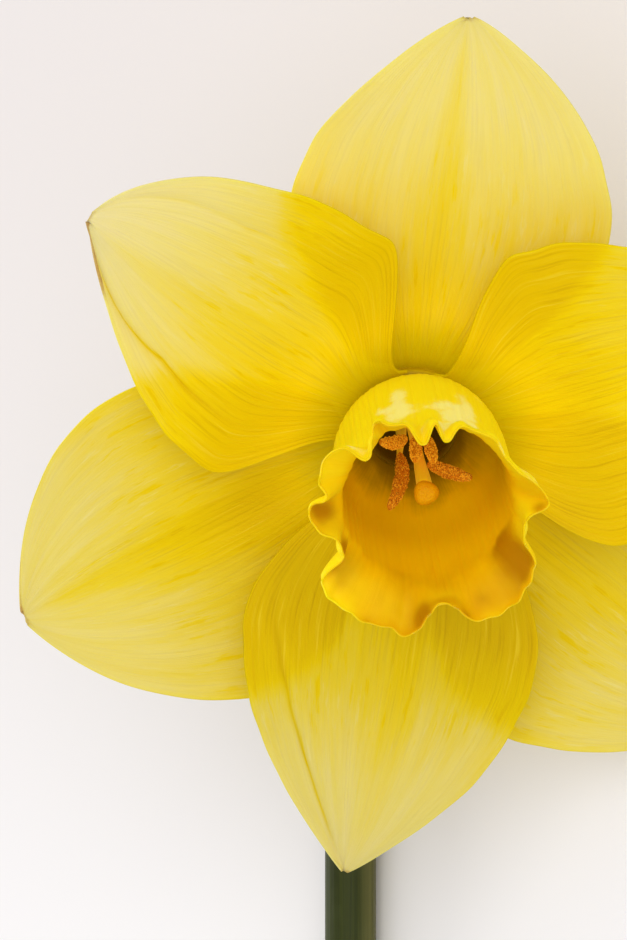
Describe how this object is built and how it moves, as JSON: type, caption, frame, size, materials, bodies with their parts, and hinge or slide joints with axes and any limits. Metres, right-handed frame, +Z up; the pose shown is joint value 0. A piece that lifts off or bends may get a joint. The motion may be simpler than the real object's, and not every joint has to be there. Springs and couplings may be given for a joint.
{
  "type": "daffodil flower",
  "caption": "Cut trumpet-type daffodil lying on its stem and one tepal, with overlapping pale yellow tepals, a frilled golden cup, stamens and a pistil.",
  "frame": {"origin": "centre of the bounding box's footprint, on the surface that the flower lies on", "axes": "+Y along the stem from its cut end towards the flower; +Z up; the flower faces +X and +Z"},
  "size_m": [0.081, 0.2002, 0.0718],
  "materials": {
    "stem": "smooth waxy green plant tissue",
    "dry_sheath": "thin dry papery brown sheath with parallel veins",
    "ovary": "smooth waxy green plant tissue",
    "flower_tube": "soft yellow-green plant tissue",
    "outer_tepals": "thin translucent pale yellow tepal with fine parallel veins",
    "inner_tepals": "thin translucent yellow tepal with fine parallel veins",
    "corona": "thin translucent golden yellow tissue",
    "filaments": "smooth pale yellow plant tissue",
    "anthers": "grains of orange pollen",
    "pistil": "smooth pale orange plant tissue",
    "stigma": "velvety golden orange surface"
  },
  "bodies": {
    "root": {"stem": "stem", "sheath": "dry_sheath", "ovary": "ovary", "tube": "flower_tube", "tepal_outer_top": "outer_tepals", "tepal_outer_left": "outer_tepals", "tepal_outer_right": "outer_tepals", "tepal_inner_left": "inner_tepals", "tepal_inner_bottom": "inner_tepals", "tepal_inner_right": "inner_tepals", "corona": "corona", "filament_1": "filaments", "filament_2": "filaments", "filament_3": "filaments", "filament_4": "filaments", "filament_5": "filaments", "filament_6": "filaments", "anther_1": "anthers", "anther_2": "anthers", "anther_3": "anthers", "anther_4": "anthers", "anther_5": "anthers", "anther_6": "anthers", "style": "pistil", "stigma": "stigma"}
  },
  "joints": []
}
